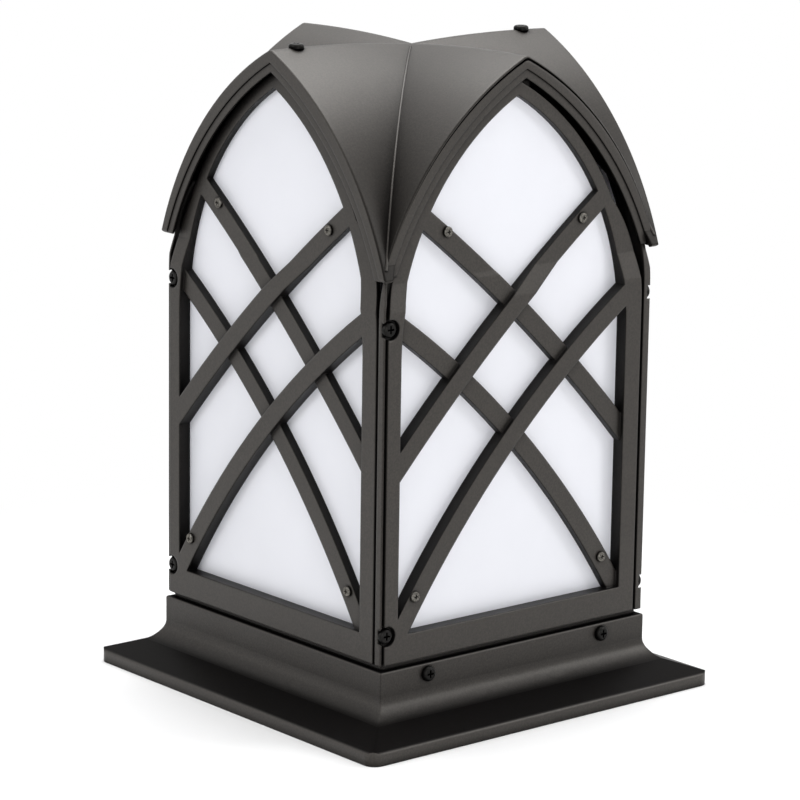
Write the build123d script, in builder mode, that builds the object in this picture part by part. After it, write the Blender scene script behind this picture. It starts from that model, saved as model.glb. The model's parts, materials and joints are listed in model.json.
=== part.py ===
from build123d import *
import os
from math import sqrt

os.makedirs("parts", exist_ok=True)

# Post lantern for a pier or post top, in millimetres, origin under the middle of the base, +Z up.
# The front panel faces -Y and the right panel faces +X.

# Base skirt
base_half = 123.0
base_corner_radius = 7.0
flange_edge = 7.2
cove_start = (104.0, 14.0)
cove_middle = (98.7, 18.2)
cove_top = 26.0
band_half = 95.5
band_inner = 90.5
skirt_top = 39.8
gusset_reach = 161.0
gusset_thick = 3.0

# Lantern body: four equal panels set like a pinwheel
body_half = 95.0
body_bottom = 42.8
panel_centre = -3.6
panel_half = 91.4
plate_depth = 5.3
lip_depth = 7.5
lip_width = 4.0
sill_top = 58.0
opening_half = 80.2
arch_spring = 206.0
arch_radius = 150.2
arch_band = 7.0
shoulder_start = 220.0
shoulder_radius = 88.0
arch_setback = 3.0
setback_start = 232.0
setback_end = 247.0
back_shoulder_start = 228.5
back_shoulder_radius = 78.0
bead_width = 1.1
bead_setback = 1.0
bead_groove = 1.2
groove_depth = 4.3

# Tracery bars: circle centre and radius of the long shallow arcs and of the tighter ones
bar_width = 10.6
back_bar_depth = 2.4
long_arc = (690.0, -558.5, 1046.0)
short_arc = (408.6, -251.0, 577.7)

# Diffusers
diffuser_lap = 3.0
diffuser_thick = 3.0

# Hood: two crossed pointed vaults, open under the eaves
eave_height = 248.5
hood_half = 97.8
full_mid_width = 68.8
hood_end_y = 97.7
hood_end_x = 94.6
rim_thick = 2.1
rim_arch = (88.9, 180.5, 190.5)
cavity_arch = (75.4, 188.2, 180.5)
rim_margin = -1.0
rim_step = 0.7
rim_step_width = 4.4
hood_wall = 3.2
# height of the ridge at distances out from the middle
ridge_line = ((32, 359.4), (65, 360.2))
ridge_end = 359.8
ridge_middle = 357.3
ridge_radius = 4.0
rim_edge = 0.6
seam_drop = 0.9
seam_width = 1.4
seam_depth = 2.0
tip_radius = 3.0
hood_screw_y = 80.0
hood_screw_height = 359.4

# Lug at the top of each panel
lug_centre = -2.0
lug_width = 15.0
lug_bottom = 343.0
lug_thick = 3.4
lug_depth = 21.0

# Screws
pan_head_radius = 4.2
pan_head_height = 2.6
shank_radius = 1.95
hole_radius = 2.0
counterbore_radius = 5.5
corner_screw_x = -90.9
corner_screw_heights = (58.8, 223.5)
small_head_radius = 2.9
small_head_height = 1.6
small_shank_radius = 1.2
small_hole_radius = 1.25
nut_thick = 2.4


# Half the width of a pointed arch at a height; each arch is (how far its arc centres stand
# past the middle, their height, radius)
def half_width(arch, height):
    out, centre_height, radius = arch
    return sqrt(radius**2 - (height - centre_height) ** 2) - out


def arch_peak(arch):
    out, centre_height, radius = arch
    return centre_height + sqrt(radius**2 - out**2)


# Pointed arch standing on straight sides from a bottom height
def pointed(arch, bottom, centre):
    top = arch_peak(arch)
    spring = max(bottom, arch[1])
    foot = half_width(arch, spring)
    middle = (spring + top) / 2
    mid = half_width(arch, middle)
    with BuildSketch() as outline:
        with BuildLine():
            Line((centre - foot, bottom), (centre + foot, bottom))
            if spring > bottom:
                Line((centre + foot, bottom), (centre + foot, spring))
                Line((centre - foot, spring), (centre - foot, bottom))
            ThreePointArc((centre + foot, spring), (centre + mid, middle), (centre, top))
            ThreePointArc((centre, top), (centre - mid, middle), (centre - foot, spring))
        make_face()
    return outline.sketch


# A copy of a piece turned about the middle of the lantern
def turned(piece, angle, name):
    copy = Rot(0, 0, angle) * piece
    copy.label = name
    return copy


front_face = Plane(origin=(0, -body_half, 0), x_dir=(1, 0, 0), z_dir=(0, -1, 0))
arch_out = arch_radius - opening_half
opening_arch = (arch_out, arch_spring, arch_radius)
outer_arch = (arch_out, arch_spring, arch_radius + arch_band)
panel_left = panel_centre - panel_half
panel_right = panel_centre + panel_half
plate_left = panel_left + bead_width + bead_groove
body_inner = body_half - plate_depth

# Base skirt: square ogee flare under an upright band, hollow underneath
with BuildPart() as skirt_hollow:
    with BuildSketch(Plane.XZ) as hollow_outline:
        with BuildLine():
            Polyline((0, -1), (116, -1), (116, 4), (103, 8.5), (band_inner, 22), (band_inner, 41), (0, 41))
            Line((0, 41), (0, -1))
        make_face()
        mirror(about=Plane.YZ)
    extrude(amount=base_half, both=True)
    with BuildSketch(Plane.YZ):
        add(hollow_outline.sketch)
    extrude(amount=base_half, both=True, mode=Mode.INTERSECT)

with BuildPart() as base_skirt:
    with BuildSketch(Plane.XZ) as skirt_outline:
        with BuildLine():
            Polyline((0, skirt_top), (0, 0), (base_half, 0), (base_half, flange_edge), cove_start)
            Spline(cove_start, cove_middle, (band_half, cove_top), tangents=[(-1, 0.4), (0, 1)])
            Polyline((band_half, cove_top), (band_half, skirt_top), (0, skirt_top))
        make_face()
        flange_corner = skirt_outline.vertices().filter_by(lambda v: v.X > base_half - 1 and v.Y > 1)
        fillet(flange_corner, 2.0)
        band_corner = skirt_outline.vertices().filter_by(lambda v: v.X > 1 and v.Y > skirt_top - 1)
        fillet(band_corner, 1.2)
        mirror(about=Plane.YZ)
    extrude(amount=base_half, both=True)
    with BuildSketch(Plane.YZ):
        add(skirt_outline.sketch)
    extrude(amount=base_half, both=True, mode=Mode.INTERSECT)
    with BuildSketch(Plane.XY):
        RectangleRounded(2 * base_half, 2 * base_half, base_corner_radius)
    extrude(amount=skirt_top, mode=Mode.INTERSECT)
    add(skirt_hollow.part, mode=Mode.SUBTRACT)
    # corner gussets that the tray is screwed to
    with BuildSketch(Plane.XY.offset(skirt_top - gusset_thick)):
        Rectangle(2 * band_inner + 1, 2 * band_inner + 1)
        Rectangle(gusset_reach * sqrt(2), gusset_reach * sqrt(2), rotation=45, mode=Mode.SUBTRACT)
    extrude(amount=gusset_thick)
    with Locations((0, 0, skirt_top)):
        with GridLocations(170, 170, 2, 2):
            Hole(hole_radius)
    # two screw holes through the left and right walls
    with Locations(Plane.YZ.offset(band_inner - 5)):
        with Locations((63, 34), (-63, 34)):
            Cylinder(hole_radius, 30, mode=Mode.SUBTRACT)
    with Locations(Plane.YZ.offset(-band_inner + 5)):
        with Locations((63, 34), (-63, 34)):
            Cylinder(hole_radius, 30, mode=Mode.SUBTRACT)
base_skirt.part.label = "base_skirt"
export_step(base_skirt.part, "parts/base_skirt.step")

# Steel mounting plate inside the skirt, its four upturned tabs take the skirt screws
plate_reach = 90.2
plate_thick = 2.2
tab_width = 12.0
tab_y = 63.0
tab_top = 39.2
anchor_spacing = 90.0
anchor_radius = 3.5
wire_hole_radius = 11.0
with BuildPart() as mounting_plate:
    with BuildSketch(Plane.XY):
        Rectangle(2 * plate_reach, 2 * tab_y + tab_width)
        with Locations((plate_reach, 0), (-plate_reach, 0)):
            Rectangle(60, 2 * tab_y - tab_width, mode=Mode.SUBTRACT)
        Circle(wire_hole_radius, mode=Mode.SUBTRACT)
        with GridLocations(anchor_spacing, anchor_spacing, 2, 2):
            Circle(anchor_radius, mode=Mode.SUBTRACT)
    extrude(amount=plate_thick)
    with BuildSketch(Plane.XY):
        with GridLocations(2 * plate_reach - plate_thick, 2 * tab_y, 2, 2):
            Rectangle(plate_thick, tab_width)
    extrude(amount=tab_top)
    with BuildSketch(Plane.YZ.offset(-body_half)):
        with GridLocations(2 * tab_y, 0, 2, 1):
            with Locations((0, 34)):
                Circle(hole_radius)
    extrude(amount=2 * body_half, mode=Mode.SUBTRACT)
mounting_plate.part.label = "mounting_plate"
export_step(mounting_plate.part, "parts/mounting_plate.step")


# A pan head screw standing on its head's under side, shank pointing down
def pan_screw(head_radius, head_height, radius, length, recess):
    with BuildPart() as screw:
        Cylinder(head_radius, head_height, align=(Align.CENTER, Align.CENTER, Align.MIN))
        fillet(screw.edges().filter_by(GeomType.CIRCLE).group_by(Axis.Z)[-1], head_height * 0.6)
        with BuildSketch(Plane.XY.offset(head_height)):
            Rectangle(recess, recess / 4)
            Rectangle(recess / 4, recess)
        extrude(amount=-head_height * 0.55, mode=Mode.SUBTRACT)
        with BuildSketch(Plane.XY):
            Circle(radius)
        extrude(amount=-length)
    return screw.part


# Screw through the left and right walls of the skirt into the plate's tabs
side_screw = pan_screw(pan_head_radius, pan_head_height, shank_radius, 10, 4.4)
with BuildPart() as skirt_screws:
    for side in (1, -1):
        for y in (tab_y, -tab_y):
            add(Pos(side * (band_half + 0.02), y, 34) * Rot(0, side * 90, 0) * side_screw)
skirt_screws.part.label = "skirt_screws"
export_step(skirt_screws.part, "parts/skirt_screws.step")

# Tray that closes the bottom of the body
tray_half = 92.5
tray_bottom = skirt_top
tray_screw_spacing = 170.0
foot_depth = 11.0
foot_half = 5.0
bushing_hole_radius = 8.0
lamp_bracket_y = 24.0
ground_spot = (34.0, -30.0)
with BuildPart() as base_tray:
    with BuildSketch(Plane.XY.offset(tray_bottom)):
        RectangleRounded(2 * tray_half, 2 * tray_half, 2)
        Circle(bushing_hole_radius, mode=Mode.SUBTRACT)
        with GridLocations(tray_screw_spacing, tray_screw_spacing, 2, 2):
            Circle(hole_radius, mode=Mode.SUBTRACT)
        with Locations((0, lamp_bracket_y), (0, -lamp_bracket_y)):
            Circle(hole_radius, mode=Mode.SUBTRACT)
        with Locations(ground_spot):
            Circle(hole_radius, mode=Mode.SUBTRACT)
        with Locations((panel_centre, -body_half + foot_depth), (-panel_centre, body_half - foot_depth)):
            Circle(hole_radius, mode=Mode.SUBTRACT)
        with Locations((body_half - foot_depth, panel_centre), (foot_depth - body_half, -panel_centre)):
            Circle(hole_radius, mode=Mode.SUBTRACT)
    extrude(amount=body_bottom - tray_bottom)
base_tray.part.label = "base_tray"
export_step(base_tray.part, "parts/base_tray.step")

floor_screw = pan_screw(3.6, 2.4, shank_radius, 8, 4.0)
with BuildPart() as tray_screws:
    with GridLocations(tray_screw_spacing, tray_screw_spacing, 2, 2):
        add(Pos(0, 0, body_bottom + 0.02) * floor_screw)
tray_screws.part.label = "tray_screws"
export_step(tray_screws.part, "parts/tray_screws.step")

# Screws from under the tray up into the foot of each panel
with BuildPart() as foot_screws:
    with PolarLocations(0, 4):
        with Locations((panel_centre, -body_half + foot_depth, tray_bottom - 0.02)):
            add(Rot(180, 0, 0) * floor_screw)
foot_screws.part.label = "foot_screws"
export_step(foot_screws.part, "parts/foot_screws.step")

# One tracery bar: a ring cut to the opening, its circle mirrored for the bars that lean the other way
def tracery(circle, side):
    with BuildSketch() as bar:
        with Locations((panel_centre + side * circle[0], circle[1])):
            Circle(circle[2] + bar_width / 2)
            Circle(circle[2] - bar_width / 2, mode=Mode.SUBTRACT)
        add(pointed(bar_limit, sill_top - 1, panel_centre), mode=Mode.INTERSECT)
    return bar.sketch


# Half of a frame plate: an upright edge, then a rounded shoulder; into is 1 at a left edge, -1 at a right one
def stile_side(edge, into, start, radius):
    with BuildSketch() as stile:
        with BuildLine():
            Line((panel_centre, body_bottom), (edge, body_bottom))
            Line((edge, body_bottom), (edge, start))
            turn = CenterArc((edge + into * radius, start), radius, 90 + into * 90, -into * 41)
            Line(turn @ 1, (panel_centre, (turn @ 1).Y))
            Line((panel_centre, (turn @ 1).Y), (panel_centre, body_bottom))
        make_face()
    return stile.sketch


bar_limit = (arch_out, arch_spring, arch_radius + 1)
lip_arch = (arch_out, arch_spring, arch_radius + lip_width)
diffuser_arch = (arch_out, arch_spring, arch_radius + diffuser_lap)
# position on the panel, how far back the bar's face is
diffuser_screw_spots = (
    (-51.4, 270.8, arch_setback),
    (44.4, 269.0, arch_setback),
    (-72.7, 77.9, 0),
    (64.1, 77.2, back_bar_depth),
)
boss_left = panel_centre + opening_half + lip_width - 0.7
neighbour = body_inner - 0.02

# Cast panel: frame, arch and tracery in one piece
with BuildPart() as panel:
    # back layer, reaching to the corner on the left
    with BuildSketch(front_face.offset(-groove_depth)):
        add(pointed(outer_arch, body_bottom, panel_centre))
        add(stile_side(panel_left, 1, back_shoulder_start, back_shoulder_radius))
        add(stile_side(panel_right, -1, shoulder_start, shoulder_radius))
    extrude(amount=groove_depth - plate_depth)
    # bead along the left edge, split off by a deep groove
    with BuildSketch(front_face.offset(-bead_setback)):
        add(stile_side(panel_left, 1, back_shoulder_start, back_shoulder_radius))
        add(Pos(bead_width, 0) * stile_side(panel_left, 1, back_shoulder_start, back_shoulder_radius),
            mode=Mode.SUBTRACT)
        with Locations((panel_centre, body_bottom)):
            Rectangle(4 * bead_width, 400, mode=Mode.SUBTRACT)
    extrude(amount=bead_setback - groove_depth)
    # front layer, its rounded shoulders running into the arch
    with BuildSketch(front_face):
        add(pointed(outer_arch, body_bottom, panel_centre))
        add(stile_side(plate_left, 1, shoulder_start, shoulder_radius))
        add(stile_side(panel_right, -1, shoulder_start, shoulder_radius))
    extrude(amount=-groove_depth)
    # lip round the back of the opening
    with BuildSketch(front_face.offset(-plate_depth + 0.5)):
        add(pointed(lip_arch, sill_top - lip_width, panel_centre))
    extrude(amount=plate_depth - 0.5 - lip_depth)
    # foot in the middle of the sill, bosses at the right edge
    with BuildSketch(front_face.offset(-plate_depth + 0.5)):
        with Locations((panel_centre, body_bottom)):
            Rectangle(2 * foot_half, 10, align=(Align.CENTER, Align.MIN))
    extrude(amount=plate_depth - 0.5 - foot_depth - 4)
    with BuildSketch(front_face.offset(-plate_depth + 0.5)):
        for height in corner_screw_heights:
            with Locations((boss_left, height)):
                Rectangle(87.4 - boss_left, 8, align=(Align.MIN, Align.CENTER))
    extrude(amount=plate_depth - 0.5 - 7.8)
    with BuildSketch(front_face.offset(-2.7)):
        for height in corner_screw_heights:
            with Locations((87.0, height)):
                Rectangle(neighbour - 87.0, 8, align=(Align.MIN, Align.CENTER))
    extrude(amount=2.7 - 7.1)
    # lug at the top that takes a hood screw
    with BuildSketch(front_face.offset(-plate_depth + 0.8)):
        with Locations((lug_centre, lug_bottom)):
            Rectangle(lug_width, lug_thick, align=(Align.CENTER, Align.MIN))
    extrude(amount=plate_depth - 0.8 - lug_depth)
    # opening
    with BuildSketch(front_face.offset(5)):
        add(pointed(opening_arch, sill_top, panel_centre))
    extrude(amount=-20, mode=Mode.SUBTRACT)
    # tracery, two bars flush with the frame and two set back under them
    with BuildSketch(front_face):
        add(tracery(long_arc, 1))
        add(tracery(short_arc, 1))
    extrude(amount=-lip_depth)
    with BuildSketch(front_face.offset(-back_bar_depth)):
        add(tracery(long_arc, -1))
        add(tracery(short_arc, -1))
    extrude(amount=back_bar_depth - lip_depth)
    # arch and bars stand back near the top so that the hood's rim passes in front of them
    with BuildSketch(Plane.YZ.offset(-2 * body_half)):
        with BuildLine():
            Polyline(
                (-body_half - 5, setback_start - 20),
                (-body_half, setback_start),
                (-body_half + arch_setback, setback_end),
                (-body_half + arch_setback, 360),
                (-body_half - 5, 360),
                (-body_half - 5, setback_start - 20),
            )
        make_face()
    extrude(amount=4 * body_half, mode=Mode.SUBTRACT)
    # holes for the diffuser screws
    with BuildSketch(front_face.offset(2)):
        for spot in diffuser_screw_spots:
            with Locations((spot[0], spot[1])):
                Circle(small_hole_radius)
    extrude(amount=-20, mode=Mode.SUBTRACT)
    # counterbored holes in the left stile, tapped holes in the right edge
    with BuildSketch(front_face.offset(5)):
        for height in corner_screw_heights:
            with Locations((corner_screw_x, height)):
                Circle(counterbore_radius)
    extrude(amount=-5 - pan_head_height - 0.4, mode=Mode.SUBTRACT)
    with BuildSketch(front_face.offset(5)):
        for height in corner_screw_heights:
            with Locations((corner_screw_x, height)):
                Circle(hole_radius)
    extrude(amount=-12, mode=Mode.SUBTRACT)
    with BuildSketch(Plane.YZ.offset(77)):
        for height in corner_screw_heights:
            with Locations((corner_screw_x, height)):
                Circle(hole_radius)
    extrude(amount=20, mode=Mode.SUBTRACT)
    with BuildSketch(Plane.XY.offset(body_bottom)):
        with Locations((panel_centre, -body_half + foot_depth)):
            Circle(hole_radius)
    extrude(amount=9, mode=Mode.SUBTRACT)
    with BuildSketch(Plane.XY.offset(lug_bottom - 1)):
        with Locations((0, -hood_screw_y)):
            Circle(hole_radius)
    extrude(amount=lug_thick + 2, mode=Mode.SUBTRACT)

# Diffuser sheet behind the opening, drilled for its screws
with BuildPart() as diffuser:
    with BuildSketch(front_face.offset(-lip_depth)):
        add(pointed(diffuser_arch, sill_top - diffuser_lap, panel_centre))
        for spot in diffuser_screw_spots:
            with Locations((spot[0], spot[1])):
                Circle(small_hole_radius, mode=Mode.SUBTRACT)
    extrude(amount=-diffuser_thick)

with BuildPart() as screw_set:
    for x, height, set_back in diffuser_screw_spots:
        shank = lip_depth + diffuser_thick + nut_thick + 0.6 - set_back
        sheet_screw = pan_screw(small_head_radius, small_head_height, small_shank_radius, shank, 2.6)
        add(Pos(x, -body_half + set_back - 0.02, height) * Rot(90, 0, 0) * sheet_screw)

with BuildPart() as nut_set:
    with BuildSketch(front_face.offset(-lip_depth - diffuser_thick - 0.02)):
        for spot in diffuser_screw_spots:
            with Locations((spot[0], spot[1])):
                RegularPolygon(3.1, 6)
                Circle(small_hole_radius, mode=Mode.SUBTRACT)
    extrude(amount=-nut_thick)

corner_screw = pan_screw(pan_head_radius, pan_head_height, shank_radius, 14, 4.4)
with BuildPart() as corner_pair:
    for height in corner_screw_heights:
        place = Pos(corner_screw_x, -body_half + 0.4 + pan_head_height - 0.02, height)
        add(place * Rot(90, 0, 0) * corner_screw)

with BuildPart() as diffuser_screws:
    for angle in (0, 90, 180, 270):
        add(Rot(0, 0, angle) * screw_set.part)
with BuildPart() as diffuser_nuts:
    for angle in (0, 90, 180, 270):
        add(Rot(0, 0, angle) * nut_set.part)
with BuildPart() as corner_screws:
    for angle in (0, 90, 180, 270):
        add(Rot(0, 0, angle) * corner_pair.part)
diffuser_screws.part.label = "diffuser_screws"
export_step(diffuser_screws.part, "parts/diffuser_screws.step")
diffuser_nuts.part.label = "diffuser_nuts"
export_step(diffuser_nuts.part, "parts/diffuser_nuts.step")
corner_screws.part.label = "corner_screws"
export_step(corner_screws.part, "parts/corner_screws.step")

sides = {"front": 0, "right": 90, "back": 180, "left": 270}
for side_name, angle in sides.items():
    export_step(turned(panel.part, angle, "panel_" + side_name), "parts/panel_" + side_name + ".step")
    sheet = turned(diffuser.part, angle, "diffuser_" + side_name)
    export_step(sheet, "parts/diffuser_" + side_name + ".step")


# Cross section of a vault from the eaves up to its ridge
def vault(half, mid_width, top):
    middle = (eave_height + top) / 2
    with BuildSketch() as section:
        with BuildLine():
            Line((-half, eave_height), (half, eave_height))
            ThreePointArc((half, eave_height), (mid_width, middle), (0, top))
            ThreePointArc((0, top), (-mid_width, middle), (-half, eave_height))
        make_face()
        fillet(section.vertices().group_by(Axis.Y)[-1], ridge_radius)
    return section.sketch


# The bit below the rounded corners at the foot of each rim
def tip_corners():
    inner = half_width(rim_opening, eave_height + tip_radius)
    with BuildSketch() as corners:
        for middle, way in ((hood_half - tip_radius, 1), (inner + tip_radius, -1)):
            with Locations((middle, eave_height - 1)):
                Rectangle(tip_radius + 1, tip_radius + 1,
                          align=(Align.MIN if way > 0 else Align.MAX, Align.MIN))
        for middle in (hood_half - tip_radius, inner + tip_radius):
            with Locations((middle, eave_height + tip_radius)):
                Circle(tip_radius, mode=Mode.SUBTRACT)
        mirror(about=Plane.YZ)
    return corners.sketch


# Distances and ridge heights of the sections from the middle to one end of a vault
def ridge_sections(end):
    return [(0, ridge_middle)] + list(ridge_line) + [(end, ridge_end)]


cavity_half = hood_half - hood_wall
cavity_mid = full_mid_width - hood_wall * 0.8
rim_opening = (rim_arch[0], rim_arch[1], rim_arch[2] + rim_margin)
step_opening = (rim_arch[0], rim_arch[1], rim_arch[2] + rim_margin + rim_step_width)

# Space under the hood: two crossed vaults a wall's thickness inside the outer ones
with BuildPart() as hood_space:
    for place, top in ridge_sections(hood_end_y - rim_thick):
        with BuildSketch(Plane.XZ.offset(place)):
            add(vault(cavity_half, cavity_mid, top - hood_wall))
    loft()
    mirror(about=Plane.XZ)
    for place, top in ridge_sections(hood_end_x - rim_thick):
        with BuildSketch(Plane.YZ.offset(place)):
            add(vault(cavity_half, cavity_mid, top - hood_wall))
    loft()
    mirror(about=Plane.YZ)

# Hood: two crossed pointed vaults, hollow, each gable open inside a raised rim
with BuildPart() as hood:
    for place, top in ridge_sections(hood_end_y - rim_edge):
        with BuildSketch(Plane.XZ.offset(place)):
            add(vault(hood_half, full_mid_width, top))
    loft()
    with BuildSketch(Plane.XZ.offset(hood_end_y - rim_edge)):
        add(vault(hood_half, full_mid_width, ridge_end))
    with BuildSketch(Plane.XZ.offset(hood_end_y)):
        add(vault(hood_half - rim_edge, full_mid_width - rim_edge, ridge_end - rim_edge))
    loft()
    mirror(about=Plane.XZ)
    for place, top in ridge_sections(hood_end_x - rim_edge):
        with BuildSketch(Plane.YZ.offset(place)):
            add(vault(hood_half, full_mid_width, top))
    loft()
    with BuildSketch(Plane.YZ.offset(hood_end_x - rim_edge)):
        add(vault(hood_half, full_mid_width, ridge_end))
    with BuildSketch(Plane.YZ.offset(hood_end_x)):
        add(vault(hood_half - rim_edge, full_mid_width - rim_edge, ridge_end - rim_edge))
    loft()
    mirror(about=Plane.YZ)
    add(hood_space.part, mode=Mode.SUBTRACT)
    with BuildSketch(Plane.XZ.offset(-base_half)):
        add(pointed(rim_opening, eave_height - 1, 0))
    extrude(amount=2 * base_half, mode=Mode.SUBTRACT)
    with BuildSketch(Plane.YZ.offset(-base_half)):
        add(pointed(rim_opening, eave_height - 1, 0))
    extrude(amount=2 * base_half, mode=Mode.SUBTRACT)
    # stepped face on each rim
    for face_plane, reach in ((Plane.XZ, hood_end_y), (Plane.YZ, hood_end_x)):
        for side in (1, -1):
            with BuildSketch(face_plane.offset(side * (reach - rim_step))):
                add(pointed(step_opening, eave_height - 1, 0))
            extrude(amount=side * 5, mode=Mode.SUBTRACT)
    # seam between rim and roof over the left and right gables, widest at the ridge
    for side in (1, -1):
        with BuildSketch(Plane.YZ.offset(side * (hood_end_x - seam_depth))):
            add(vault(hood_half - seam_drop, full_mid_width - seam_drop, ridge_end - seam_drop))
            add(vault(hood_half - seam_drop, full_mid_width - seam_drop, ridge_end - seam_drop - seam_width),
                mode=Mode.SUBTRACT)
        extrude(amount=side * (seam_depth + 1), mode=Mode.SUBTRACT)
    # rounded feet of the rims
    with BuildSketch(Plane.XZ):
        add(tip_corners())
    extrude(amount=base_half, both=True, mode=Mode.SUBTRACT)
    with BuildSketch(Plane.YZ):
        add(tip_corners())
    extrude(amount=base_half, both=True, mode=Mode.SUBTRACT)
    with Locations((0, hood_screw_y, hood_screw_height), (0, -hood_screw_y, hood_screw_height)):
        Cylinder(pan_head_radius + 0.4, 8, align=(Align.CENTER, Align.CENTER, Align.MIN), mode=Mode.SUBTRACT)
        Cylinder(hole_radius + 0.1, 40, mode=Mode.SUBTRACT)
hood.part.label = "hood"
export_step(hood.part, "parts/hood.step")

hood_screw = pan_screw(pan_head_radius, pan_head_height, shank_radius, 16.2, 4.4)
with BuildPart() as hood_screws:
    for y in (hood_screw_y, -hood_screw_y):
        add(Pos(0, y, hood_screw_height + 0.02) * hood_screw)
hood_screws.part.label = "hood_screws"
export_step(hood_screws.part, "parts/hood_screws.step")

# Rubber bushing in the tray's wire hole
with BuildPart() as wire_bushing:
    with BuildSketch(Plane.XZ):
        with BuildLine():
            Polyline(
                (4.5, tray_bottom - 1.8), (9.6, tray_bottom - 1.8), (9.6, tray_bottom - 0.02),
                (7.95, tray_bottom - 0.02), (7.95, body_bottom + 0.02), (9.6, body_bottom + 0.02),
                (9.0, body_bottom + 1.8), (4.5, body_bottom + 1.8), (4.5, tray_bottom - 1.8),
            )
        make_face()
    revolve(axis=Axis.Z)
wire_bushing.part.label = "wire_bushing"
export_step(wire_bushing.part, "parts/wire_bushing.step")

with BuildPart() as ground_screw:
    with Locations((ground_spot[0], ground_spot[1], body_bottom + 0.02)):
        add(floor_screw)
ground_screw.part.label = "ground_screw"
export_step(ground_screw.part, "parts/ground_screw.step")

# Hat shaped strap that carries the lampholder over the bushing
bracket_thick = 1.6
bracket_half_width = 10.0
bracket_rise = 20.0
bracket_top = body_bottom + bracket_rise
nipple_radius = 5.0
with BuildPart() as lamp_bracket:
    with BuildSketch(Plane.YZ):
        with BuildLine() as strap_line:
            Polyline(
                (lamp_bracket_y + 7, body_bottom + bracket_thick / 2 + 0.01),
                (15, body_bottom + bracket_thick / 2 + 0.01),
                (15, bracket_top - bracket_thick / 2),
                (-15, bracket_top - bracket_thick / 2),
                (-15, body_bottom + bracket_thick / 2 + 0.01),
                (-lamp_bracket_y - 7, body_bottom + bracket_thick / 2 + 0.01),
            )
            offset(amount=bracket_thick / 2, side=Side.BOTH)
        make_face()
    extrude(amount=bracket_half_width, both=True)
    with BuildSketch(Plane.XY.offset(body_bottom - 1)):
        Circle(nipple_radius + 0.05)
        with Locations((0, lamp_bracket_y), (0, -lamp_bracket_y)):
            Circle(hole_radius)
    extrude(amount=bracket_rise + 2, mode=Mode.SUBTRACT)
lamp_bracket.part.label = "lamp_bracket"
export_step(lamp_bracket.part, "parts/lamp_bracket.step")

with BuildPart() as bracket_screws:
    with Locations((0, lamp_bracket_y, body_bottom), (0, -lamp_bracket_y, body_bottom)):
        add(Pos(0, 0, bracket_thick + 0.04) * floor_screw)
bracket_screws.part.label = "bracket_screws"
export_step(bracket_screws.part, "parts/bracket_screws.step")

# Ceramic lampholder with a hollow stem held in the strap
socket_floor = bracket_top + 9.0
socket_rim = bracket_top + 42.0
shell_radius = 14.4
with BuildPart() as lampholder:
    with BuildSketch(Plane.XZ):
        with BuildLine():
            Polyline(
                (3, bracket_top - 9), (nipple_radius, bracket_top - 9), (nipple_radius, bracket_top + 0.02),
                (16, bracket_top + 0.02), (18, bracket_top + 3), (18, socket_rim - 12),
                (20.5, socket_rim - 9), (20.5, socket_rim - 1.5), (19, socket_rim),
                (shell_radius + 0.05, socket_rim), (shell_radius + 0.05, socket_floor),
                (3, socket_floor), (3, bracket_top - 9),
            )
        make_face()
    revolve(axis=Axis.Z)
lampholder.part.label = "lampholder"
export_step(lampholder.part, "parts/lampholder.step")

# Brass shell that the bulb screws into, and the sprung contact under it
with BuildPart() as socket_shell:
    with BuildSketch(Plane.XZ):
        with BuildLine():
            Polyline(
                (8, socket_floor + 0.02), (shell_radius, socket_floor + 0.02), (shell_radius, socket_rim - 3),
                (shell_radius - 0.6, socket_rim - 3), (shell_radius - 0.6, socket_floor + 0.62),
                (8, socket_floor + 0.62), (8, socket_floor + 0.02),
            )
        make_face()
    revolve(axis=Axis.Z)
socket_shell.part.label = "socket_shell"
export_step(socket_shell.part, "parts/socket_shell.step")

contact_top = socket_floor + 4.0
with BuildPart() as socket_contact:
    with BuildSketch(Plane.XZ):
        with BuildLine():
            Polyline((-6.5, socket_floor + 0.02), (2, socket_floor + 0.02), (5.5, contact_top - 0.6))
            Polyline((5.5, contact_top - 0.6), (-1.5, contact_top), (-1.5, contact_top - 0.7))
            Polyline((-1.5, contact_top - 0.7), (4, contact_top - 1.2), (1.6, socket_floor + 0.7))
            Polyline((1.6, socket_floor + 0.7), (-6.5, socket_floor + 0.7), (-6.5, socket_floor + 0.02))
        make_face()
    extrude(amount=2.2, both=True)
socket_contact.part.label = "socket_contact"
export_step(socket_contact.part, "parts/socket_contact.step")

# Bulb: foot contact, metal cap and frosted glass
bulb_foot = contact_top + 0.05
cap_bottom = bulb_foot + 2.0
cap_radius = 13.3
cap_top = cap_bottom + 23.0
neck_radius = 12.4
globe_radius = 30.0
globe_height = 62.0
with BuildPart() as bulb_contact:
    with Locations((0, 0, bulb_foot)):
        Cylinder(4.6, 2.0, align=(Align.CENTER, Align.CENTER, Align.MIN))
    fillet(bulb_contact.edges().group_by(Axis.Z)[0], 1.0)
bulb_contact.part.label = "bulb_contact"
export_step(bulb_contact.part, "parts/bulb_contact.step")

with BuildPart() as bulb_cap:
    with BuildSketch(Plane.XZ):
        with BuildLine():
            Polyline(
                (0, cap_bottom), (5.5, cap_bottom), (cap_radius, cap_bottom + 4.5), (cap_radius, cap_top),
                (neck_radius + 0.1, cap_top), (neck_radius + 0.1, cap_bottom + 6), (0, cap_bottom + 6),
                (0, cap_bottom),
            )
        make_face()
    revolve(axis=Axis.Z)
bulb_cap.part.label = "bulb_cap"
export_step(bulb_cap.part, "parts/bulb_cap.step")

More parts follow.
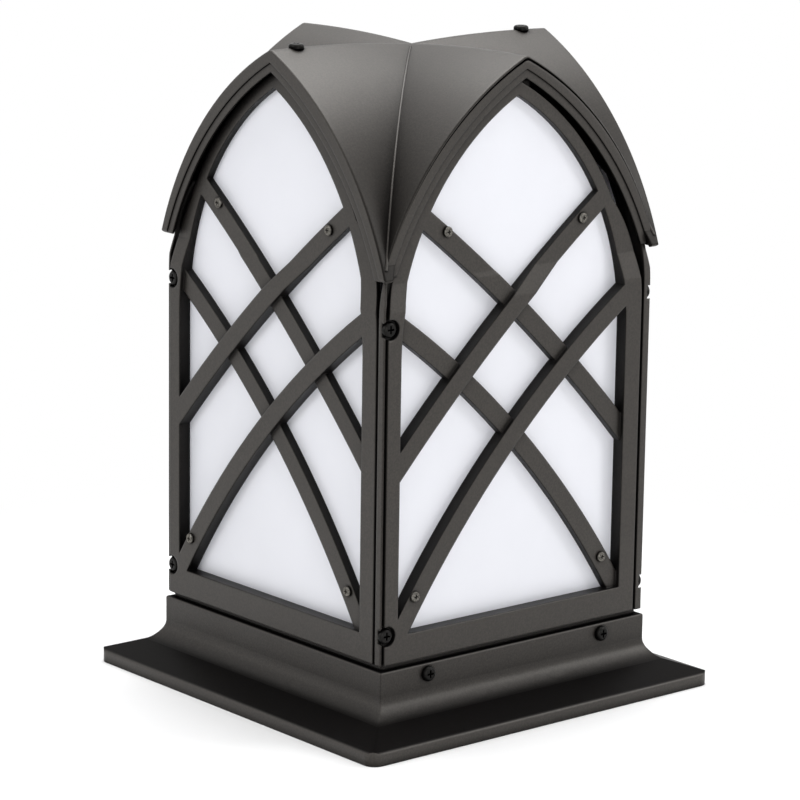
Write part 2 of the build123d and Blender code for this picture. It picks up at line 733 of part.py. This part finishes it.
globe_middle = cap_top + globe_height - 8
with BuildPart() as bulb_glass:
    with BuildSketch(Plane.XZ):
        with BuildLine():
            Line((0, cap_bottom + 6.02), (neck_radius, cap_bottom + 6.02))
            Line((neck_radius, cap_bottom + 6.02), (neck_radius, cap_top))
            Spline(
                (neck_radius, cap_top), (16, cap_top + 16), (globe_radius, globe_middle),
                tangents=[(0, 1), (0, 1)],
            )
            CenterArc((0, globe_middle), globe_radius, 0, 90)
            Line((0, globe_middle + globe_radius), (0, cap_bottom + 6.02))
        make_face()
    revolve(axis=Axis.Z)
bulb_glass.part.label = "bulb_glass"
export_step(bulb_glass.part, "parts/bulb_glass.step")
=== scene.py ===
import bpy
import bmesh
import json
import math
from mathutils import Matrix, Vector
from mathutils.bvhtree import BVHTree


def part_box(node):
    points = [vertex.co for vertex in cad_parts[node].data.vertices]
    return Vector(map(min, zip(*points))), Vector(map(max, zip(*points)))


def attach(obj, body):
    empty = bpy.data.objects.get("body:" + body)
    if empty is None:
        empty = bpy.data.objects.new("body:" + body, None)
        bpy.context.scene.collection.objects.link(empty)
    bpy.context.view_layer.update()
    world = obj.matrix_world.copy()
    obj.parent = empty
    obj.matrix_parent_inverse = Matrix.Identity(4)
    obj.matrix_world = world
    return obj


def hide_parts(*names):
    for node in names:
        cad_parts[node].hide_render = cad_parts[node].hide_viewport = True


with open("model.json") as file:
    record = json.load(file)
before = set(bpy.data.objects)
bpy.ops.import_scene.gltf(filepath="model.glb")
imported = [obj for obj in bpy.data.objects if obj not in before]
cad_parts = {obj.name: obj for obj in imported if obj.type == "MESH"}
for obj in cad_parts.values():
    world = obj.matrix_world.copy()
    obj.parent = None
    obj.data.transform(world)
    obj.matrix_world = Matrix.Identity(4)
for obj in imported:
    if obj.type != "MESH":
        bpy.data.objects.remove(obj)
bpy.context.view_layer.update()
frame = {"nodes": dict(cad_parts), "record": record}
nodes = frame["nodes"]


# sRGB hex to the linear colour that shader sockets take, by the standard's own curve
def linear(hexColour):
    channels = [int(hexColour[i:i + 2], 16) / 255 for i in (0, 2, 4)]
    return [c / 12.92 if c <= 0.04045 else ((c + 0.055) / 1.055) ** 2.4 for c in channels] + [1.0]


# A material with its principled shader, ready for more nodes
def newMaterial(name):
    material = bpy.data.materials.new(name)
    material.use_nodes = True
    tree = material.node_tree
    return material, tree, tree.nodes["Principled BSDF"]


# Adds one shader node: links maps inputs to other nodes' outputs, settings are socket values or properties
def add(tree, kind, links=None, **settings):
    node = tree.nodes.new(kind)
    for key, value in settings.items():
        if key in node.inputs:
            node.inputs[key].default_value = value
        else:
            setattr(node, key, value)
    for key, output in (links or {}).items():
        tree.links.new(output, node.inputs[key])
    return node


# Places of a Mix node's first colour input and of its colour output among its sockets
mixColourA = 6
mixColourResult = 2


# A finish's two tones in patches of the given size: noise up to darkTo is dark, from lightFrom on light
def twoTones(tree, place, sizeMm, settings):
    noise = add(tree, "ShaderNodeTexNoise", {"Vector": place}, Scale=1000 / sizeMm, Detail=2.0)
    tint = add(tree, "ShaderNodeValToRGB", {"Fac": noise.outputs["Fac"]})
    darkStop, lightStop = tint.color_ramp.elements
    darkStop.position = settings["darkTo"]
    darkStop.color = linear(settings["dark"])
    lightStop.position = settings["lightFrom"]
    lightStop.color = linear(settings["light"])
    return tint.outputs["Color"]


# Roughness that drifts by up to spread to either side of its middle value, over patches of the given size
def unevenSheen(tree, shader, place, sizeMm, settings):
    cloud = add(tree, "ShaderNodeTexNoise", {"Vector": place}, Scale=1000 / sizeMm, Detail=2.0)
    sheen = add(tree, "ShaderNodeMapRange", {"Value": cloud.outputs["Fac"]},
                **{"To Min": settings["roughness"] - settings["spread"],
                   "To Max": settings["roughness"] + settings["spread"]})
    tree.links.new(sheen.outputs["Result"], shader.inputs["Roughness"])


# How open the surface is to what lies within reach of it, from 0 where it is shut in to 1 where it is clear
def openWithin(tree, reach, shutAt, clearAt, ownShapeOnly=False):
    hollow = add(tree, "ShaderNodeAmbientOcclusion", samples=8, Distance=reach, only_local=ownShapeOnly)
    return add(tree, "ShaderNodeMapRange", {"Value": hollow.outputs["AO"]},
               **{"From Min": shutAt, "From Max": clearAt}).outputs["Result"]


print("materials")


# Finish of the castings and of the screws in them: two close tones in a fine speckle, a pebble that breaks
# up the highlights, a slow unevenness of sheen and soft edges. Painted shade on top of it darkens the colour
# and dulls the gloss along the edges, in grooves and valleys and, where the settings ask for it, on ledges
# that face up or on steep slopes.
def castFinishWithPaintedShade(name, settings):
    material, tree, shader = newMaterial(name)
    coordinates = add(tree, "ShaderNodeTexCoord")
    place = coordinates.outputs["Object"]
    tint = twoTones(tree, place, settings["speckleMm"], settings)
    # Painted shade in grooves and valleys: darker the more the surface is shut in
    grooveOpen = openWithin(tree, settings["grooveReach"], settings["grooveFrom"], settings["clearAt"])
    valleyOpen = openWithin(tree, settings["valleyReach"], settings["valleyFrom"], settings["clearAt"],
                            settings["ownShapeOnly"])
    upward = add(tree, "ShaderNodeSeparateXYZ", {"Vector": coordinates.outputs["Normal"]}).outputs["Z"]
    # Painted shade on ledges, stronger the more they face up
    ledgeOpen = add(tree, "ShaderNodeMapRange", {"Value": upward}, interpolation_type="SMOOTHSTEP",
                    **{"From Min": settings["ledgeFrom"], "From Max": settings["ledgeTo"],
                       "To Min": 1.0, "To Max": 1 - settings["ledgeShade"]})
    # Painted shade on slopes, darker the steeper they drop
    steepOpen = add(tree, "ShaderNodeMapRange", {"Value": upward}, interpolation_type="SMOOTHSTEP",
                    **{"From Min": settings["steepFrom"], "From Max": settings["steepTo"],
                       "To Min": 1 - settings["steepShade"], "To Max": 1.0})
    # What stands quite upright or faces down isn't a slope, and keeps its full tone without painted slope
    # shade
    upright = add(tree, "ShaderNodeMapRange", {"Value": upward},
                  **{"From Min": settings["uprightTo"], "From Max": settings["slopeFrom"],
                     "To Min": 1.0, "To Max": 0.0})
    slopeOpen = add(tree, "ShaderNodeMath", {0: steepOpen.outputs["Result"], 1: upright.outputs["Result"]},
                    operation="MAXIMUM")
    # Painted shade along the edges: an edge is where the rounded normal turns away from the face's own
    edges = add(tree, "ShaderNodeBevel", samples=8, Radius=settings["edgeRadius"])
    ownNormal = add(tree, "ShaderNodeNewGeometry").outputs["Normal"]
    turned = add(tree, "ShaderNodeVectorMath", {0: edges.outputs["Normal"], 1: ownNormal},
                 operation="DOT_PRODUCT")
    edgeOpen = add(tree, "ShaderNodeMapRange", {"Value": turned.outputs["Value"]},
                   **{"From Min": settings["edgeTo"], "From Max": settings["faceFrom"],
                      "To Min": 1 - settings["edgeShade"]})
    openness = slopeOpen.outputs[0]
    for factor in (grooveOpen, valleyOpen, ledgeOpen.outputs["Result"], edgeOpen.outputs["Result"]):
        openness = add(tree, "ShaderNodeMath", {0: openness, 1: factor}, operation="MULTIPLY").outputs[0]
    # Painted shade: the colour goes from the speckled tone to the near-black painted shade colour as
    # openness falls
    shade = add(tree, "ShaderNodeMix", {"Factor": openness, "B": tint}, data_type="RGBA")
    shade.inputs[mixColourA].default_value = linear(settings["deep"])
    tree.links.new(shade.outputs[mixColourResult], shader.inputs["Base Color"])
    # Painted shade on the gloss too: the specular level falls to its shade level as openness falls
    gloss = add(tree, "ShaderNodeMapRange", {"Value": openness},
                **{"To Min": settings["deepSpecular"], "To Max": settings["specular"]})
    tree.links.new(gloss.outputs["Result"], shader.inputs["Specular IOR Level"])
    unevenSheen(tree, shader, place, settings["cloudMm"], settings)
    pebble = add(tree, "ShaderNodeTexNoise", {"Vector": place},
                 Scale=1000 / settings["pebbleMm"], Detail=3.0)
    bump = add(tree, "ShaderNodeBump", {"Height": pebble.outputs["Fac"], "Normal": edges.outputs["Normal"]},
               Strength=settings["bump"], Distance=settings["pebbleDepth"])
    tree.links.new(bump.outputs["Normal"], shader.inputs["Normal"])
    shader.inputs["IOR"].default_value = settings["ior"]
    shader.inputs["Specular Tint"].default_value = linear(settings["reflection"])
    shader.inputs["Metallic"].default_value = settings["metallic"]
    return material


# Textured polyester powder coat on die-cast metal: near black, with a satin sheen that the pebble breaks up.
# Reaches, radii and depths are in metres, grain sizes in millimetres; the pebble is drawn at 0.7 mm, coarse
# enough to show. Painted shade takes the colour to the near-black shade tone and the specular level down to
# its shade level where the surface is shut in or shaded: in hollows from clearAt down to their From, at
# edges from faceFrom down to edgeTo, on ledges and slopes by how far they face up.
coatSettings = {"dark": "1e1c1a", "light": "2e2a27", "deep": "0b0a0a", "darkTo": 0.35, "lightFrom": 0.68,
                "metallic": 0.0, "ior": 1.5, "roughness": 0.4, "spread": 0.05,
                "specular": 0.5, "deepSpecular": 0.12, "reflection": "fffaf3",
                "speckleMm": 1.1, "cloudMm": 40.0, "pebbleMm": 0.7, "pebbleDepth": 0.0003, "bump": 0.14,
                "edgeRadius": 0.0016, "edgeShade": 0.35, "edgeTo": 0.75, "faceFrom": 0.98,
                "grooveReach": 0.006, "grooveFrom": 0.35, "valleyReach": 0.06, "valleyFrom": 0.45,
                "clearAt": 0.95, "ownShapeOnly": False,
                "ledgeShade": 0.0, "ledgeFrom": 0.4, "ledgeTo": 1.0,
                "steepShade": 0.0, "steepFrom": 0.0, "steepTo": 0.95,
                "uprightTo": 0.004, "slopeFrom": 0.012}
coat = castFinishWithPaintedShade("powderCoat", coatSettings)
# Painted shade on the hood: its coat is painted down to near black where its vaults drop steeply and darker
# in its valleys, but not on the upright rims
hoodCoatWithPaintedShade = castFinishWithPaintedShade("hoodPowderCoatWithPaintedShade", {**coatSettings, "deepSpecular": 0.0, "valleyFrom": 0.58,
                                         "steepShade": 0.95})
# The base takes its painted shade from its own flare alone, so that the flange's edge stays clear of the
# floor's, and its flange top, facing up, is painted near black as shade
baseCoatWithPaintedShade = castFinishWithPaintedShade("basePowderCoatWithPaintedShade", {**coatSettings, "deepSpecular": 0.0, "valleyReach": 0.09,
                                         "valleyFrom": 0.55, "ownShapeOnly": True, "ledgeShade": 0.97})
screwSettings = {**coatSettings, "roughness": 0.34, "edgeRadius": 0.0003, "edgeShade": 0.0,
                 "grooveFrom": 0.55}
# Blackened steel of the corner, skirt and hood screws: near black with a small soft glint; the cross recess
# is darkened with painted shade
blackenedSteel = castFinishWithPaintedShade("blackenedSteel", {**screwSettings, "dark": "080808", "light": "121212",
                                               "specular": 0.16, "deepSpecular": 0.0,
                                               "grooveReach": 0.004, "bump": 0.08})
# The small tracery screws have worn back to bare steel and stand out pale from the castings round them
wornSteel = castFinishWithPaintedShade("wornSteel", {**screwSettings, "dark": "4a4844", "light": "7b7872",
                                     "metallic": 0.85, "edgeRadius": 0.0002, "grooveReach": 0.002,
                                     "valleyFrom": 0.3, "bump": 0.1})


# Finish of a smaller piece: two close tones in patches, an uneven sheen and a faint relief, drawn out along
# the piece where it was pressed or drawn
def pieceFinish(name, settings):
    material, tree, shader = newMaterial(name)
    place = add(tree, "ShaderNodeTexCoord").outputs["Object"]
    drawn = add(tree, "ShaderNodeMapping", {"Vector": place}, Scale=(1, 1, settings["drawn"]))
    place = drawn.outputs["Vector"]
    tree.links.new(twoTones(tree, place, settings["patchMm"], settings), shader.inputs["Base Color"])
    unevenSheen(tree, shader, place, settings["patchMm"], settings)
    grain = add(tree, "ShaderNodeTexNoise", {"Vector": place}, Scale=1000 / settings["grainMm"], Detail=3.0)
    bump = add(tree, "ShaderNodeBump", {"Height": grain.outputs["Fac"]},
               Strength=settings["bump"], Distance=settings["grainDepth"])
    tree.links.new(bump.outputs["Normal"], shader.inputs["Normal"])
    shader.inputs["Metallic"].default_value = settings["metallic"]
    shader.inputs["IOR"].default_value = settings["ior"]
    return material


pieceSettings = {"metallic": 0.0, "ior": 1.5, "spread": 0.04, "darkTo": 0.3, "lightFrom": 0.7, "drawn": 1.0,
                 "grainMm": 0.6, "grainDepth": 0.0002, "bump": 0.08}
# Cast opal acrylic: milky white and even, with the slow waviness of the casting
opal = pieceFinish("opalAcrylic", {**pieceSettings, "dark": "e4e5eb", "light": "e8e9ef", "ior": 1.49,
                                   "roughness": 0.36, "patchMm": 60.0, "grainMm": 14.0, "bump": 0.05})
# Pressed steel with bright zinc: dull silver in cloudy patches
zinc = pieceFinish("zincPlatedSteel", {**pieceSettings, "dark": "a3a5a4", "light": "bdbebc",
                                       "metallic": 1.0, "roughness": 0.38, "patchMm": 4.0})
# Steel screw dyed green, as earth screws are: the metal shines through the colour
greenScrew = pieceFinish("greenEarthScrew", {**pieceSettings, "dark": "236338", "light": "2f8246",
                                             "metallic": 0.6, "roughness": 0.4, "patchMm": 2.0})
# Moulded rubber: matt black with a greyish bloom
rubber = pieceFinish("mouldedRubber", {**pieceSettings, "dark": "191919", "light": "252423",
                                       "roughness": 0.75, "patchMm": 3.0, "bump": 0.2})
# Glazed porcelain: off white and glossy, the glaze a little uneven
ceramic = pieceFinish("glazedPorcelain", {**pieceSettings, "dark": "dfdbd0", "light": "ebe8e0",
                                          "ior": 1.52, "roughness": 0.17, "spread": 0.03,
                                          "patchMm": 12.0, "grainMm": 5.0})
# Drawn brass: warm yellow with faint lines up the shell
brass = pieceFinish("drawnBrass", {**pieceSettings, "dark": "ab8545", "light": "cba65e",
                                   "metallic": 1.0, "roughness": 0.36, "patchMm": 1.5, "drawn": 0.15})
# Rolled nickel-plated cap: cool silver with faint lines
capMetal = pieceFinish("nickelPlatedCap", {**pieceSettings, "dark": "a9a9ad", "light": "c2c2c5",
                                           "metallic": 1.0, "roughness": 0.34,
                                           "patchMm": 1.5, "drawn": 0.3})
# Etched and white-coated glass: soft white with hardly any gloss
glass = pieceFinish("etchedGlass", {**pieceSettings, "dark": "e7e7e4", "light": "f1f1ef",
                                    "roughness": 0.42, "patchMm": 20.0, "grainMm": 0.5, "bump": 0.05})

bySlot = {"powder_coat": coat, "opal_sheet": opal, "zinc_steel": zinc, "zinc_screws": zinc,
          "black_screws": blackenedSteel, "green_screw": greenScrew, "black_rubber": rubber,
          "white_ceramic": ceramic, "brass": brass, "bulb_metal": capMetal, "frosted_glass": glass}
# Nodes that wear a finish of their own in their slot's place
byNode = {"base_skirt": baseCoatWithPaintedShade, "hood": hoodCoatWithPaintedShade, "diffuser_screws": wornSteel}
for part in frame["record"]["subparts"]:
    piece = nodes[part["node"]]
    piece.data.materials.clear()
    piece.data.materials.append(byNode.get(part["node"], bySlot[part["material_slot"]]))

print("hood seams")
# Raised seam that runs down each valley of the hood, half sunk in the coat, traced on the roof from above
seamSettings = {"radius": 0.0009, "start": 0.004, "end": 0.0955, "steps": 40, "sink": 0.0003, "above": 0.5,
                "valleys": ((1, -1), (1, 1), (-1, 1), (-1, -1))}


def valleySeam(name, roof, towardsX, towardsY, settings):
    points = []
    for step in range(settings["steps"] + 1):
        out = settings["start"] + (settings["end"] - settings["start"]) * step / settings["steps"]
        above = Vector((out * towardsX, out * towardsY, settings["above"]))
        hit = roof.ray_cast(above, Vector((0, 0, -1)))[0]
        if hit is not None:
            points.append(hit - Vector((0, 0, settings["sink"])))
    curve = bpy.data.curves.new(name, "CURVE")
    curve.dimensions = "3D"
    curve.bevel_depth = settings["radius"]
    curve.bevel_resolution = 3
    curve.use_fill_caps = True
    line = curve.splines.new("NURBS")
    line.points.add(len(points) - 1)
    for spot, point in zip(line.points, points):
        spot.co = (*point, 1)
    line.use_endpoint_u = True
    line.order_u = 4
    seam = bpy.data.objects.new(name, curve)
    bpy.context.scene.collection.objects.link(seam)
    curve.materials.append(coat)
    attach(seam, "hood_body")


hoodRoof = BVHTree.FromObject(nodes["hood"], bpy.context.evaluated_depsgraph_get())
for number, (towardsX, towardsY) in enumerate(seamSettings["valleys"]):
    valleySeam("hood_seam_" + str(number + 1), hoodRoof, towardsX, towardsY, seamSettings)

print("lamp cap")
# Rolled screw cap of the lamp, in metres: a cone at the foot, the rounded thread, which fades in and out at
# threadFade times its length, and a plain collar that steps in to the neck and a lip under the glass
capSettings = {"footRadius": 0.0056, "cone": 0.002, "coneHeight": 0.0045, "shoulder": 0.0008,
               "pitch": 0.0036, "threadDepth": 0.0009, "threadSteps": 60, "threadFade": 6,
               "collarHeight": 0.0045, "collarEnd": 0.0035, "neckFrom": 0.003, "neck": 0.0006,
               "lipHeight": 0.0006, "lip": 0.0003, "round": 96, "weld": 0.000001, "flatFrom": 0.95}


def lampCap(settings):
    low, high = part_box("bulb_cap")
    radius, foot, top = high.x, low.z, high.z
    threadFrom, threadTo = foot + settings["coneHeight"], top - settings["collarHeight"]
    neck = radius - settings["neck"]
    profile = [(0.0, foot), (settings["footRadius"], foot),
               (radius - settings["cone"], threadFrom - settings["shoulder"])]
    for step in range(settings["threadSteps"] + 1):
        profile.append((radius, threadFrom + (threadTo - threadFrom) * step / settings["threadSteps"]))
    profile += [(radius, top - settings["collarEnd"]), (neck, top - settings["neckFrom"]),
                (neck, top - settings["lipHeight"]), (neck - settings["lip"], top), (0.0, top)]
    shape = bmesh.new()
    line = [shape.verts.new((reach, 0, height)) for reach, height in profile]
    for ends in zip(line, line[1:]):
        shape.edges.new(ends)
    bmesh.ops.spin(shape, geom=shape.verts[:] + shape.edges[:], cent=(0, 0, 0), axis=(0, 0, 1),
                   dvec=(0, 0, 0), angle=2 * math.pi, steps=settings["round"], use_merge=True)
    bmesh.ops.remove_doubles(shape, verts=shape.verts[:], dist=settings["weld"])
    # The rolled thread: each point of the plain stretch is pressed in by its place along the helix
    for vert in shape.verts:
        along = (vert.co.z - threadFrom) / (threadTo - threadFrom)
        fade = max(0.0, min(1.0, settings["threadFade"] * along, settings["threadFade"] * (1 - along)))
        turn = math.atan2(vert.co.y, vert.co.x) / (2 * math.pi)
        wave = 0.5 - 0.5 * math.cos(2 * math.pi * (vert.co.z / settings["pitch"] - turn))
        pressed = 1 - settings["threadDepth"] * fade * wave / radius
        vert.co.x *= pressed
        vert.co.y *= pressed
    bmesh.ops.recalc_face_normals(shape, faces=shape.faces[:])
    for face in shape.faces:
        face.smooth = abs(face.normal.z) < settings["flatFrom"]
    mesh = bpy.data.meshes.new("lamp_cap")
    shape.to_mesh(mesh)
    shape.free()
    mesh.materials.append(capMetal)
    cap = bpy.data.objects.new("lamp_cap", mesh)
    bpy.context.scene.collection.objects.link(cap)
    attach(cap, "bulb")
    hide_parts("bulb_cap")


lampCap(capSettings)

print("stage")


# 1 on camera, glossy and transmission rays, which show the floor and the world, and 0 on all others
def seenDirectly(tree):
    ray = add(tree, "ShaderNodeLightPath")
    sharp = add(tree, "ShaderNodeMath", {0: ray.outputs["Is Camera Ray"], 1: ray.outputs["Is Glossy Ray"]},
                operation="MAXIMUM")
    return add(tree, "ShaderNodeMath", {0: sharp.outputs[0], 1: ray.outputs["Is Transmission Ray"]},
               operation="MAXIMUM").outputs[0]


# Matt pale floor that keeps the lantern's shadow and turns to plain white further out; lengths in metres
floorSettings = {"colour": "f4f4f4", "roughness": 0.9, "specular": 0.1, "size": 6.0,
                 "whiteFrom": 0.18, "whiteTo": 0.45}


def paleFloor(settings):
    material, tree, shader = newMaterial("paleFloor")
    shader.inputs["Base Color"].default_value = linear(settings["colour"])
    shader.inputs["Roughness"].default_value = settings["roughness"]
    shader.inputs["Specular IOR Level"].default_value = settings["specular"]
    place = add(tree, "ShaderNodeTexCoord").outputs["Object"]
    reach = add(tree, "ShaderNodeVectorMath", {0: place}, operation="LENGTH").outputs["Value"]
    farOut = add(tree, "ShaderNodeMapRange", {"Value": reach}, interpolation_type="SMOOTHSTEP",
                 **{"From Min": settings["whiteFrom"], "From Max": settings["whiteTo"]})
    white = add(tree, "ShaderNodeMath", {0: seenDirectly(tree), 1: farOut.outputs["Result"]},
                operation="MULTIPLY")
    glow = add(tree, "ShaderNodeEmission", Color=(1, 1, 1, 1), Strength=1.0)
    mix = add(tree, "ShaderNodeMixShader", {0: white.outputs[0], 1: shader.outputs[0], 2: glow.outputs[0]})
    tree.links.new(mix.outputs[0], tree.nodes["Material Output"].inputs["Surface"])
    shape = bmesh.new()
    bmesh.ops.create_grid(shape, x_segments=1, y_segments=1, size=settings["size"])
    mesh = bpy.data.meshes.new("floor")
    shape.to_mesh(mesh)
    shape.free()
    mesh.materials.append(material)
    floor = bpy.data.objects.new("floor", mesh)
    bpy.context.scene.collection.objects.link(floor)


paleFloor(floorSettings)

# White all round where it is seen, and a low even light on the object
worldSettings = {"seen": 1.0, "onObject": 0.35}


def studioWorld(settings):
    world = bpy.data.worlds.new("studio")
    bpy.context.scene.world = world
    world.use_nodes = True
    tree = world.node_tree
    level = add(tree, "ShaderNodeMapRange", {"Value": seenDirectly(tree)},
                **{"To Min": settings["onObject"], "To Max": settings["seen"]})
    tree.links.new(level.outputs["Result"], tree.nodes["Background"].inputs["Strength"])
    tree.nodes["Background"].inputs["Color"].default_value = (1, 1, 1, 1)


studioWorld(worldSettings)

# Soft studio lights, each a rectangle aimed at the lantern's middle, in metres and watts
lightAim = Vector((0, 0, 0.18))
lightSettings = {"keyLight": {"place": (1.6, -0.4, 0.3), "width": 0.5, "height": 0.5, "power": 5.5},
                 "sideLight": {"place": (1.1, 1.25, 1.0), "width": 0.5, "height": 0.7, "power": 9},
                 "topLight": {"place": (-0.2, 0.2, 1.7), "width": 1.5, "height": 1.5, "power": 36},
                 "fillLight": {"place": (-0.2, -1.6, 1.0), "width": 0.7, "height": 0.7, "power": 9}}


def softLight(name, aim, settings):
    data = bpy.data.lights.new(name, "AREA")
    data.shape = "RECTANGLE"
    data.size = settings["width"]
    data.size_y = settings["height"]
    data.energy = settings["power"]
    light = bpy.data.objects.new(name, data)
    place = Vector(settings["place"])
    back = (place - aim).normalized()
    light.matrix_world = Matrix.Translation(place) @ back.to_track_quat("Z", "Y").to_matrix().to_4x4()
    bpy.context.scene.collection.objects.link(light)


for lightName, settings in lightSettings.items():
    softLight(lightName, lightAim, settings)

print("camera")
# The photograph's camera, in metres and degrees, its azimuth counted from the front towards the right side
cameraSettings = {"sensor": 36.0, "lens": 156.28, "sees": 20.0, "place": (1.4433, -1.2198, 0.5755),
                  "azimuth": 49.902, "elevation": 12.465, "roll": 0.83}


def photoCamera(settings):
    data = bpy.data.cameras.new("camera")
    data.sensor_width = settings["sensor"]
    data.lens = settings["lens"]
    data.clip_end = settings["sees"]
    azimuth = math.radians(settings["azimuth"])
    elevation = math.radians(settings["elevation"])
    roll = math.radians(settings["roll"])
    forward = Vector((-math.sin(azimuth) * math.cos(elevation),
                      math.cos(azimuth) * math.cos(elevation),
                      -math.sin(elevation)))
    level = Vector((math.cos(azimuth), math.sin(azimuth), 0))
    up = level.cross(forward)
    turnedRight = level * math.cos(roll) + up * math.sin(roll)
    turnedUp = up * math.cos(roll) - level * math.sin(roll)
    axes = Matrix((turnedRight, turnedUp, -forward)).transposed().to_4x4()
    camera = bpy.data.objects.new("camera", data)
    camera.matrix_world = Matrix.Translation(Vector(settings["place"])) @ axes
    bpy.context.scene.collection.objects.link(camera)
    bpy.context.scene.camera = camera


photoCamera(cameraSettings)
bpy.context.scene.view_settings.view_transform = "Standard"
